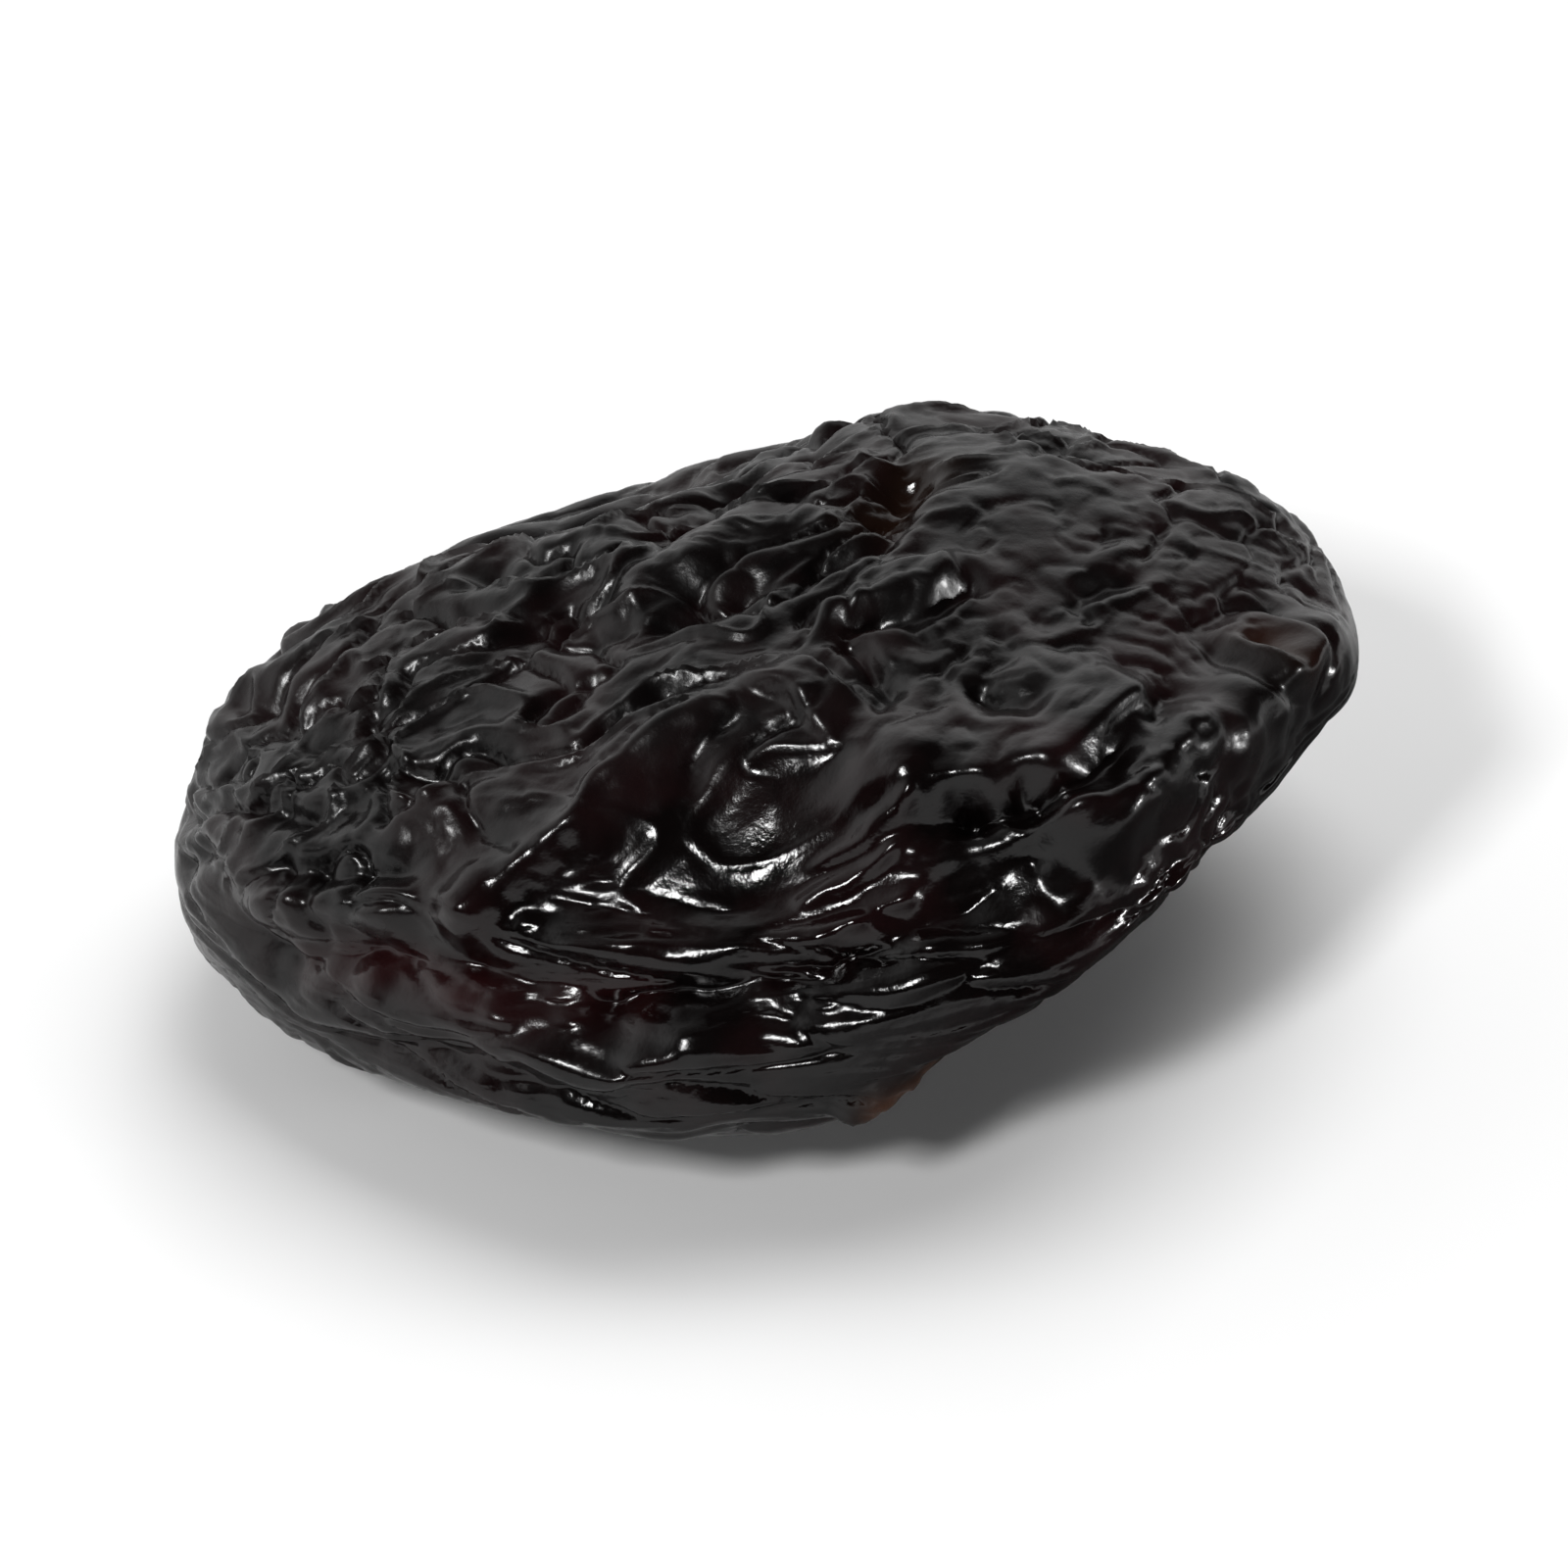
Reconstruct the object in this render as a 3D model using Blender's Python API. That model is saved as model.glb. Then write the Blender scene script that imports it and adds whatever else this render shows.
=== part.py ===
"""One pitted prune, lying free on the flattened skin of its underside.

A single closed solid in metres, +Z up, with -Y at the front. The smooth fruit
is worked out first, in millimetres, from a unit sphere. Then the folds of the
dried skin and its wrinkles are raised on it, each by a formula.
"""
import math

import bmesh
import bpy
import numpy as np
from mathutils import Vector, noise

MM = 0.001

# Smooth fruit: half sizes in millimetres, and how square it is seen from
# above (PLAN_POWER) and from the side (SIDE_POWER), where 2 is an ellipse.
HALF_LENGTH = 18.2
HALF_DEPTH = 15.2
HALF_TOP = 8
HALF_UNDER = 7.3
PLAN_POWER = 2.15
SIDE_POWER = 2.35

# The right end is raised: rise in height for each millimetre to the right. The
# middle of the underside stays level, out to about this far from its middle.
RISE = 0.10
LEVEL_REACH = 9.0

# Waves round the plan: number of them, share of the radius, direction in degrees.
PLAN_WAVES = [(2, 0.015, 20), (3, 0.035, 40), (4, 0.015, 10)]

# Broad hollows and swellings: direction round the fruit and up from its rim,
# spread, both in degrees, and height in millimetres.
LOBES = [
    (303, 2, 22, 1.4),
    (112, 36, 28, -1.8),
    (278, -22, 16, 0.6),
    (20, 35, 20, -0.5),
    (352, 2, 16, 0.8),
    (222, -25, 18, 0.3),
    (40, 20, 24, -0.8),
    (0, -90, 30, 0.8),
]

# The underside is cut off obliquely at the front right: the way it rises, in
# degrees, where that starts, rise for each millimetre, and rounding.
LIFTED_TOWARDS = -35
LIFTED_FROM = 5.4
LIFTED_SLOPE = 0.8
LIFTED_ROUND = 1.8

# Folds: half width, height or depth, and places that the fold runs through,
# all in millimetres from the middle of the smooth fruit. A place is moved
# onto the skin, so it only has to lie in the right direction.
CREASES = {
    "front": (0.7, 1.1, [
        (-18, -3, 1), (-16.5, -6, 1), (-15, -8, 1), (-12.5, -10, 2), (-10, -11.5, 2), (-5, -14.5, 2),
        (-1, -15.5, 2), (5, -15, 3), (8, -14, 3.5),
    ]),
    "lip": (0.4, 0.9, [
        (2.5, -11.5, 6.5), (5.5, -13, 5.5), (9.5, -12.5, 5), (12, -11, 5), (14.5, -8.5, 5), (16, -6.5, 5),
    ]),
    "pocket": (0.5, 1, [
        (5.5, 2.5, 8.5), (3.5, -0.5, 8.5), (0.5, -1.5, 8.5), (-1.5, -2.5, 8), (-3.5, -2, 7.5),
    ]),
    "under_ridge": (0.6, 0.4, [(1, -7.5, 7.5), (-3, -9, 7), (-6.5, -10, 5.5)]),
    "left_of_pocket": (0.5, 0.6, [(-5, -1, 7.5), (-8, 0.5, 7), (-11, 1, 6)]),
    "back_notch": (0.8, 1, [(-4.5, 1, 7.5), (-2.5, 3, 8), (-0.5, 5, 7.5), (0.5, 8, 7)]),
    "high_left": (0.45, 0.5, [(-16.5, 3, 3), (-14, 0.5, 4.5), (-12, -2.5, 5), (-9, -3, 6)]),
    "mid_left": (0.45, 0.6, [(-16, -1.5, 3.5), (-13.5, -5, 4.5), (-10, -6, 5.5), (-6, -7.5, 6.5)]),
    "low_left": (0.45, 0.5, [(-15.5, -5, 3), (-13, -7.5, 3.5), (-10, -9, 4.5)]),
    "tip_upper": (0.4, 0.5, [(-18.5, 1.5, 1), (-18, -0.5, 2), (-16.5, -1.5, 3)]),
    "tip_lower": (0.4, 0.5, [(-19, -1, 0), (-18, -2, 1.5), (-16.5, -3.5, 2.5)]),
    "between_rolls": (0.4, 0.35, [
        (-15.5, -8, -1), (-13, -11, -1), (-10.5, -12.5, -1), (-5.5, -15, -1), (-1, -16, -0.5),
    ]),
    "high_front": (0.35, 0.7, [(2.5, -5, 8), (4, -4.5, 8.5), (6, -4.5, 8.5), (8, -3, 8.5), (9.5, -4, 8)]),
    "panel_knob": (0.4, 0.6, [(3, -5, 8), (3.5, -6.5, 8), (4, -8, 7.5)]),
    "panel_slit": (0.25, 0.4, [(5, -4, 8), (6, -6, 8), (6.5, -8, 7.5)]),
    "panel_hook": (0.3, 0.4, [(8, -4.5, 8), (9, -6, 7.5), (9, -7.5, 7.5), (7.5, -8, 7.5)]),
    "panel_pit": (0.45, 0.8, [(7, -7.5, 7.5), (7.5, -8.5, 7), (8.5, -9, 7), (10, -9.5, 6.5)]),
    "panel_right": (0.35, 0.6, [(11.5, -3.5, 7.5), (13, -3, 7.5), (15, -1, 7)]),
    "panel_low": (0.3, 0.4, [(10.5, -7, 7), (12, -6.5, 7), (13, -5.5, 6.5)]),
    "panel_mid": (0.25, 0.3, [(11, -3.5, 7.5), (12, -4.5, 7), (12, -5.5, 7)]),
    "pucker_left": (0.4, 0.7, [(5.5, -12, 6), (6.5, -13, 5.5), (6.5, -13.5, 5)]),
    "pucker_right": (0.4, 0.6, [(8, -12, 5.5), (9, -12.5, 5), (8, -13.5, 5)]),
    "back": (0.8, 1.1, [
        (-17, 4.5, 1.5), (-12, 10.5, 2), (-5, 14, 1), (3, 15, 0.5), (10, 12.5, 1.5), (15, 8.5, 2),
    ]),
    "back_upper": (0.6, 0.8, [(-13, 7.5, 4.5), (-6, 10.5, 5.5), (1, 12, 5.5), (6, 10, 6.5)]),
    "back_low": (0.7, 0.8, [(-12, 9.5, -2.5), (-2, 13.5, -4), (6, 12.5, -4), (12, 8.5, -3)]),
    "right": (0.6, 0.6, [(18.5, 2.5, 1), (16.5, 7, -0.5), (12, 11, -2), (8, 13, -2)]),
    "under_left": (0.7, 0.6, [(-16, 1, -4), (-12.5, 2.5, -6), (-10.5, 6, -6), (-7, 9, -6)]),
    "under_right": (0.7, 0.6, [(15, 4, -4), (12, 1, -6), (8, -3, -6)]),
}
RIDGES = {
    "lip": (1.5, 2, [
        (18.5, 0, 1), (17.5, -4, 2.5), (15.5, -8, 3), (13, -11, 3.5), (10.5, -13, 3.5), (8, -14, 3.5),
    ]),
    "long": (1.1, 1.2, [
        (1.5, -6, 8), (-2.5, -8, 7), (-5, -9, 6), (-6.5, -10, 5.5), (-9.5, -11, 4), (-11, -11.5, 3),
    ]),
    "high": (0.6, 0.8, [(1.5, -5, 8), (3, -3.5, 8.5), (4.5, -3, 8.5), (6, -2.5, 8.5), (8, -2.5, 8.5)]),
    "knob": (1.6, 1, [(0.5, -8, 7.5), (2, -7, 8)]),
    "shelf": (2.2, 1.6, [(2.5, -9.5, 7.5), (5.5, -12, 6.5), (9.5, -12, 6), (12, -10, 6), (14, -7.5, 6)]),
    "upper_roll": (1.2, 0.8, [
        (-16.5, -7, 0.5), (-14, -9.5, 1), (-9, -13, 1), (-4.5, -15, 0.5), (-1, -15.5, 1),
    ]),
    "lower_roll": (0.9, 0.4, [
        (-14, -9, -2.5), (-11, -12, -2.5), (-7.5, -14, -2.5), (-4.5, -15, -2.5), (0, -16, -1.5),
    ]),
    "low_left": (0.9, 0.4, [(-16.5, -5, 2), (-14, -8.5, 3), (-11.5, -10, 3)]),
    "over_crease": (0.45, 0.3, [(-9, -12, 3.5), (-6.5, -13, 3.5), (-4, -14, 3.5)]),
    "left_high": (0.45, 0.35, [(-13, -3, 5), (-9, -5, 6), (-5, -6, 7)]),
    "left_bend": (0.45, 0.35, [(-15, -1.5, 4), (-13.5, -4, 4.5), (-11.5, -5, 5), (-10.5, -7, 5)]),
    "slope_high": (0.35, 0.35, [(0.5, -13.5, 5.5), (3.5, -12.5, 6), (5, -12, 6)]),
    "slope_mid": (0.35, 0.35, [(0, -14, 4.5), (2, -13.5, 5), (4.5, -13, 5.5)]),
    "slope_low": (0.35, 0.35, [(0, -15, 3.5), (2.5, -14.5, 4), (5, -14, 4.5)]),
    "back": (1, 0.45, [(-13, 11, 3.5), (-6, 13, 3.5), (2, 13.5, 3.5), (9, 12, 4)]),
    "nib": (0.55, 0.6, [(1, -16, -2.5), (2.5, -15.5, -3.5), (4, -15, -4)]),
}
DENTS = {
    "front_slope": (3, 1.3, [(-7, -11.5, 4.5), (-3, -13, 4.5), (1, -13.5, 4.5), (5, -13, 4.5)]),
    "left_pocket": (1.4, 1.1, [(-5.5, 0.5, 7.5), (-5, -1, 7.5), (-3.5, -2, 7.5), (-2.5, -1.5, 8)]),
    "back_pocket": (0.95, 1.3, [(4.5, 2, 8.5), (5.5, 3.5, 8.5), (6, 4.5, 8.5)]),
    "front_right": (2, 0.5, [(10, -13, 1), (13, -10.5, 1)]),
    "back_top": (3.2, 0.8, [(0, 9, 7), (4, 9, 7)]),
    "back_left": (2.2, 0.7, [(-9, 8, 6), (-5, 9, 6.5)]),
}

# Closed mouth that the stone was taken out through: a pit in puckered rings,
# each a distance from its middle, a half width and a height.
MOUTH_PLACE = (18, -4.8, 4.2)
MOUTH_RINGS = [(0.0, 0.6, -0.65), (1.1, 0.45, 0.35), (1.9, 0.4, -0.25)]

# Wrinkles: seed and size of the noise that places them, and height. Pillows and
# lines also have a width before the height, as a share of that noise. Cracks lie
# only where noise of the seed and size of CRACK_PATCHES is well above nought.
SWELL = (20, 8, 0.9)
TOP_WRINKLE = (3, 2.6, 0.45)
TOP_LINE = (24, 2.2, 0.11, 0.3)
RIM_WRINKLE = (9, 3.2, 0.2)
RIM_PILLOW = (17, 2.8, 0.1, 0.3)
PANEL_CRACK = (22, 2.4, 0.1, -0.25)
CRACK_PATCHES = (23, 4)
CRACK_FROM = (0, 0.25)

# Wrinkles on top run along the fruit, turned by this many degrees, and are
# WRINKLE_STRETCH times as long as wide. Those on the rim run round the fruit,
# at about RIM_RADIUS from its middle, and are drawn out by RIM_STRETCH.
WRINKLE_TURN = 15
WRINKLE_STRETCH = 2
RIM_RADIUS = 17
RIM_STRETCH = 3

# Shoulder beside each crease: its height as a share of the depth, and its place
# and half width as shares of the crease's. Folds fade out at both ends, over
# these shares of their length.
SHOULDER = (0.3, 2.4, 1.2)
CREASE_ENDS = (0, 0.25)
RIDGE_ENDS = (-0.05, 0.2)

# Bends in folds and wrinkles: size, how far they push, and seed.
FOLD_BENDS = [(3.5, 0.6, 1), (1.3, 0.3, 4)]
MOUTH_BENDS = [(1.8, 0.8, 5)]
TOP_BENDS = [(5, 1.4, 2), (1.2, 0.6, 6)]
RIM_BENDS = [(5, 1.8, 8)]
CRACK_BENDS = [(2.5, 0.9, 21)]
NOISE_SEED = 7
SEED_STEP = np.array([31.7, 11.3, 47.9])

# Heights between which the rim turns into the top, how much lower it does so at
# the left end, depths between which it turns into the underside, and share of
# the wrinkles left on the underside, on the smooth panel of the right half, on
# the front slope, along the lip and the long ridge. BACK_SHARE is how much less
# smooth the panel is towards the back.
TOP_HEIGHT = (2.5, 5.5)
TIP_LIFT = 3
TIP_REACH = (8, 15)
UNDER_DEPTH = (2.5, 5.5)
UNDER_SHARE = 0.45
PANEL_SHARE = 0.12
BACK_SHARE = 0.6
SLOPE_SHARE = 0.15
LIP_SHARE = 0.3

# Where these lie, in millimetres: the panel to the right of a slanting line, at
# x - y / 2, and behind another, at x + y, rougher from PANEL_BACK in y on, and
# with PANEL_LEVEL of the swell left out. The slope lies in front of SLOPE_FRONT,
# round SLOPE_MIDDLE in x. Lip and long ridge are calm for this far round them.
PANEL_LEFT = (1, 7)
PANEL_FRONT = (-9, -5)
PANEL_BACK = (-1, 5)
PANEL_LEVEL = 0.7
SLOPE_FRONT = (8, 11)
SLOPE_MIDDLE = 1
SLOPE_REACH = 9
LIP_REACH = 2.2
LONG_REACH = 1.3

# Flat spot: how much of the underside is cut off, and how far round its middle
# the wrinkles are left out.
REST_CUT = 0.4
REST_CALM = 7

# The skin is worked out on a fine sphere, with this many cuts in each edge of
# a twenty-faced one, and thinned to about this many triangles.
FORM_CUTS = 59
TRIANGLES = 11200

# Corners that lie less than this above the ground are put exactly on it.
FLAT_WITHIN = 0.02 * MM


def clear_scene():
    for obj in list(bpy.data.objects):
        bpy.data.objects.remove(obj, do_unlink=True)


def unit_sphere(cuts):
    """Directions of the corners of an even sphere, and its triangles."""
    bm = bmesh.new()
    bmesh.ops.create_icosphere(bm, subdivisions=1, radius=1.0)
    bmesh.ops.subdivide_edges(bm, edges=bm.edges, cuts=cuts, use_grid_fill=True)
    bmesh.ops.triangulate(bm, faces=bm.faces)
    bm.verts.index_update()
    directions = np.array([v.co for v in bm.verts])
    triangles = np.array([[v.index for v in f.verts] for f in bm.faces])
    bm.free()
    # more corners on the broad top and underside than on the rim
    directions[:, 2] *= 1.3
    return unit(directions), triangles


def unit(vectors):
    return vectors / np.linalg.norm(vectors, axis=1)[:, None]


def smooth_step(x, low, high):
    t = np.clip((x - low) / (high - low), 0, 1)
    return t * t * (3 - 2 * t)


def bump(distance, width):
    return np.exp(-((distance / width) ** 2))


def smooth_fruit(q):
    """Skin of the fruit without folds, in millimetres, for unit directions q."""
    size = np.abs(q)
    plan = (size[:, 0] ** PLAN_POWER + size[:, 1] ** PLAN_POWER) ** (1 / PLAN_POWER)
    reach = (plan ** SIDE_POWER + size[:, 2] ** SIDE_POWER) ** (-1 / SIDE_POWER)
    turn = np.arctan2(q[:, 1], q[:, 0])
    grow = 1 + sum(share * np.cos(count * (turn - np.radians(at))) for count, share, at in PLAN_WAVES)
    x = HALF_LENGTH * q[:, 0] * reach * grow
    y = HALF_DEPTH * q[:, 1] * reach * grow
    level = np.where(q[:, 2] < 0, bump(np.hypot(x, y), LEVEL_REACH), 0)
    z = np.where(q[:, 2] > 0, HALF_TOP, HALF_UNDER) * q[:, 2] * reach + RISE * x * (1 - level)
    skin = np.stack([x, y, z], 1)
    outward = unit(skin / np.array([HALF_LENGTH, HALF_DEPTH, HALF_TOP]) ** 2)
    for round_at, up_at, spread, height in LOBES:
        turn, lift = np.radians((round_at, up_at))
        middle = np.array([np.cos(lift) * np.cos(turn), np.cos(lift) * np.sin(turn), np.sin(lift)])
        away = np.degrees(np.arccos(np.clip(q @ middle, -1, 1)))
        skin += outward * (height * bump(away, spread))[:, None]
    turn = math.radians(LIFTED_TOWARDS)
    out = skin[:, 0] * math.cos(turn) + skin[:, 1] * math.sin(turn)
    cut = (out - LIFTED_FROM) * LIFTED_SLOPE - HALF_UNDER
    gap = skin[:, 2] - cut
    skin[:, 2] = cut + (gap + np.sqrt(gap ** 2 + LIFTED_ROUND ** 2)) / 2
    return skin


def on_skin(places):
    return smooth_fruit(unit(np.array(places, float) / (HALF_LENGTH, HALF_DEPTH, HALF_TOP)))


def noise_at(points, size, seed):
    shifted = points / size + SEED_STEP * seed
    return np.array([noise.noise(Vector(v)) for v in shifted])


def bent(points, bends):
    """The points, pushed aside by noise in one way after the other."""
    for size, reach, seed in bends:
        shifted = points / size + SEED_STEP * seed
        points = points + reach * np.array([noise.noise_vector(Vector(v)) for v in shifted])
    return points


def outward_normals(points, triangles):
    a, b, c = (points[triangles[:, k]] for k in range(3))
    across = np.cross(b - a, c - a)
    normals = np.zeros_like(points)
    for k in range(3):
        np.add.at(normals, triangles[:, k], across)
    return unit(normals)


def curve_through(places, steps=5):
    """A smooth curve through the places, as a line of short straight pieces."""
    p = np.array(places, float)
    p = np.vstack([2 * p[0] - p[1], p, 2 * p[-1] - p[-2]])
    t = np.linspace(0, 1, steps, endpoint=False)[:, None]
    line = []
    for a, b, c, d in zip(p, p[1:], p[2:], p[3:]):
        line.append(b + 0.5 * t * (c - a + t * (2 * a - 5 * b + 4 * c - d + t * (3 * (b - c) + d - a))))
    line.append(p[-2:-1])
    return on_skin(np.vstack(line))


def near_curve(points, places):
    """Distance from each point to the curve, and how far along it that is, 0 to 1."""
    line = curve_through(places)
    distance = np.full(len(points), np.inf)
    along = np.zeros(len(points))
    for k, (a, b) in enumerate(zip(line, line[1:])):
        t = np.clip((points - a) @ (b - a) / ((b - a) @ (b - a)), 0, 1)
        d = np.linalg.norm(points - a - t[:, None] * (b - a), axis=1)
        nearer = d < distance
        distance[nearer] = d[nearer]
        along[nearer] = ((k + t) / (len(line) - 1))[nearer]
    return distance, along


def fold_height(points):
    """Height of all the named folds at each point of the smooth skin."""
    p = bent(points, FOLD_BENDS)
    height = np.zeros(len(p))
    for width, depth, places in CREASES.values():
        distance, along = near_curve(p, places)
        taper = smooth_step(np.minimum(along, 1 - along), *CREASE_ENDS)
        shoulder = SHOULDER[0] * bump(distance - SHOULDER[1] * width, SHOULDER[2] * width)
        height += depth * taper * (shoulder - np.exp(-distance / width))
    for width, rise, places in RIDGES.values():
        distance, along = near_curve(p, places)
        height += rise * bump(distance, width) * smooth_step(np.minimum(along, 1 - along), *RIDGE_ENDS)
    for width, depth, places in DENTS.values():
        height -= depth * bump(near_curve(p, places)[0], width)
    mouth = np.linalg.norm(bent(points, MOUTH_BENDS) - on_skin([MOUTH_PLACE]), axis=1)
    for radius, width, rise in MOUTH_RINGS:
        height += rise * bump(mouth - radius, width)
    return height


def waves(points, seed, size, height):
    return height * noise_at(points, size, seed)


def lines(points, seed, size, width, height):
    """Raised or sunk lines where noise crosses nought."""
    return height * bump(noise_at(points, size, seed), width)


def pillows(points, seed, size, width, height):
    """Rounded pillows between sharp creases, which run where noise crosses nought."""
    return height * (0.5 - np.exp(-np.abs(noise_at(points, size, seed)) / width))


def lengthways(points):
    """The points, turned and squeezed so that noise is drawn out along the fruit."""
    turn = math.radians(WRINKLE_TURN)
    along = points[:, 0] * math.cos(turn) + points[:, 1] * math.sin(turn)
    across = points[:, 1] * math.cos(turn) - points[:, 0] * math.sin(turn)
    return np.stack([along / WRINKLE_STRETCH, across, points[:, 2]], 1)


def round_the_rim(points):
    """The points, moved so that noise is drawn out round the fruit."""
    turn = np.arctan2(points[:, 1], points[:, 0])
    height = RIM_STRETCH * points[:, 2]
    rim = np.stack([RIM_RADIUS * np.cos(turn), RIM_RADIUS * np.sin(turn), height], 1)
    return bent(rim, RIM_BENDS) / (RIM_STRETCH, RIM_STRETCH, 1)


def less_near(points, places, reach):
    """1 far from the curve, and LIP_SHARE on it."""
    return 1 - (1 - LIP_SHARE) * bump(near_curve(points, places)[0], reach)


def top_and_panel(points):
    """Shares: 1 on the top, and 1 on the smooth panel in its right half."""
    x, y, z = points.T
    upper = smooth_step(z + TIP_LIFT * smooth_step(-x, *TIP_REACH), *TOP_HEIGHT)
    panel = upper * smooth_step(x - y / 2, *PANEL_LEFT) * smooth_step(x + y, *PANEL_FRONT)
    return upper, panel


def front_slope(points):
    """1 on the slope below the long ridge."""
    return smooth_step(-points[:, 1], *SLOPE_FRONT) * bump(points[:, 0] - SLOPE_MIDDLE, SLOPE_REACH)


def wrinkle_height(points):
    """Wrinkles along the length on top, and round the fruit along its rim."""
    upper, panel = top_and_panel(points)
    panel = panel * (1 - BACK_SHARE * smooth_step(points[:, 1], *PANEL_BACK))
    below = smooth_step(-points[:, 2], *UNDER_DEPTH)
    calm = less_near(points, RIDGES["lip"][2], LIP_REACH) * less_near(points, RIDGES["long"][2], LONG_REACH)
    top = upper * calm * (1 - (1 - SLOPE_SHARE) * front_slope(points)) * (1 - (1 - PANEL_SHARE) * panel)
    top += UNDER_SHARE * below
    rim = (1 - upper - below) * calm
    along = bent(lengthways(bent(points, TOP_BENDS[:1])), TOP_BENDS[1:])
    around = round_the_rim(points)
    height = waves(points, *SWELL) * (1 - PANEL_LEVEL * panel)
    height += top * (waves(along, *TOP_WRINKLE) + lines(along, *TOP_LINE))
    height += rim * (waves(around, *RIM_WRINKLE) + pillows(around, *RIM_PILLOW))
    broken = smooth_step(waves(points, *CRACK_PATCHES, 1), *CRACK_FROM)
    height += panel * broken * lines(bent(points, CRACK_BENDS), *PANEL_CRACK)
    return height


def prune_skin(cuts):
    """Corners, in millimetres, and triangles of the folded skin."""
    noise.seed_set(NOISE_SEED)
    q, triangles = unit_sphere(cuts)
    smooth = smooth_fruit(q)
    under = np.where(smooth[:, 2] < 0, bump(np.hypot(smooth[:, 0], smooth[:, 1]), REST_CALM), 0)
    height = fold_height(smooth) + wrinkle_height(smooth) * (1 - under)
    skin = smooth + outward_normals(smooth, triangles) * height[:, None]
    floor = skin[:, 2].min() + REST_CUT
    skin[:, 2] = np.maximum(skin[:, 2], floor)
    middle = (skin.min(axis=0) + skin.max(axis=0)) / 2
    return skin - (middle[0], middle[1], floor), triangles


def skin_material():
    material = bpy.data.materials.new("skin")
    material.use_nodes = True
    shader = material.node_tree.nodes["Principled BSDF"]
    shader.inputs["Base Color"].default_value = (0.010, 0.006, 0.005, 1.0)
    shader.inputs["Roughness"].default_value = 0.25
    shader.inputs["Metallic"].default_value = 0.0
    material.diffuse_color = (0.030, 0.022, 0.020, 1.0)
    return material


def thinned(mesh):
    """A copy of the mesh with fewer triangles, its flat spot exactly at z = 0."""
    obj = bpy.data.objects.new("fine_form", mesh)
    bpy.context.scene.collection.objects.link(obj)
    thin = obj.modifiers.new("fewer_triangles", "DECIMATE")
    thin.ratio = TRIANGLES / len(mesh.polygons)
    seen = obj.evaluated_get(bpy.context.evaluated_depsgraph_get())
    result = bpy.data.meshes.new_from_object(seen)
    bpy.data.objects.remove(obj)
    for vertex in result.vertices:
        if vertex.co.z < FLAT_WITHIN:
            vertex.co.z = 0.0
    return result


def build_prune():
    corners, triangles = prune_skin(FORM_CUTS)
    fine = bpy.data.meshes.new("fine_form")
    fine.from_pydata((corners * MM).tolist(), [], triangles.tolist())
    mesh = thinned(fine)
    bpy.data.meshes.remove(fine)
    mesh.name = "prune"
    mesh.materials.append(skin_material())
    mesh.shade_smooth()
    prune = bpy.data.objects.new("prune", mesh)
    bpy.context.scene.collection.objects.link(prune)


clear_scene()
build_prune()
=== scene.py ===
"""Looks of one pitted prune, lying on a white table in soft studio light.

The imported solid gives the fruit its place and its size. Its skin is worked out
here again by the same formulas on a finer sphere, with finer wrinkles on top,
and takes the place of the solid. All shaping is in millimetres.
"""

import math

import bmesh
import bpy
import numpy as np
from mathutils import Matrix, Vector, noise


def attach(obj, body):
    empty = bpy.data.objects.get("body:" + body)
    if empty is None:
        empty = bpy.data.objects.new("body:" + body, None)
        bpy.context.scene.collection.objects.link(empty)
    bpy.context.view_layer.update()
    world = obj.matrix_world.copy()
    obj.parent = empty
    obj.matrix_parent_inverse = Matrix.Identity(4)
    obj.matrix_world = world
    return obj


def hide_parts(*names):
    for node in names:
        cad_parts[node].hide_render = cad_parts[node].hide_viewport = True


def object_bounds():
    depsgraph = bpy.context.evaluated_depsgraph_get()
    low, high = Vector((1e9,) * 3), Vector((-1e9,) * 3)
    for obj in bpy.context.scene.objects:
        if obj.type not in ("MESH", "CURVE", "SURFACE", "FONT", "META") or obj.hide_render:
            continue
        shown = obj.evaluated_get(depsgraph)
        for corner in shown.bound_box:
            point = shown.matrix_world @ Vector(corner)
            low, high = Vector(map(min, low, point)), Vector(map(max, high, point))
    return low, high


MM = 0.001

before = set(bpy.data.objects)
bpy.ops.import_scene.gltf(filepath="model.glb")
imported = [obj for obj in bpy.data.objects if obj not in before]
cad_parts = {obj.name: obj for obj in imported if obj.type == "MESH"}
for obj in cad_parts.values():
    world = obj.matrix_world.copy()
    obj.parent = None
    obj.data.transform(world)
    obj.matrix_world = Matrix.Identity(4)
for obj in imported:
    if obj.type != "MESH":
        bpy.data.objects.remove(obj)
cad_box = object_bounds()

# Smooth fruit: half sizes in millimetres, and how square it is seen from
# above (PLAN_POWER) and from the side (SIDE_POWER), where 2 is an ellipse. It
# rises to the right by RISE for each millimetre, but not underneath, up to
# about LEVEL_REACH from its middle.
HALF_LENGTH = 18.2
HALF_DEPTH = 15.2
HALF_TOP = 8
HALF_UNDER = 7.3
PLAN_POWER = 2.15
SIDE_POWER = 2.35
RISE = 0.10
LEVEL_REACH = 9.0

# Waves round its plan: their number, height as a share, and where one has its
# crest, in degrees.
PLAN_WAVES = [(2, 0.015, 20), (3, 0.035, 40), (4, 0.015, 10)]

# Lobes and hollows: the way they lie, round the fruit and up, their spread, all
# in degrees, and their height in millimetres.
LOBES = [
    (303, 2, 22, 1.4),
    (112, 36, 28, -1.8),
    (278, -22, 16, 0.6),
    (20, 35, 20, -0.5),
    (352, 2, 16, 0.8),
    (222, -25, 18, 0.3),
    (40, 20, 24, -0.8),
    (0, -90, 30, 0.8),
]

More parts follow.
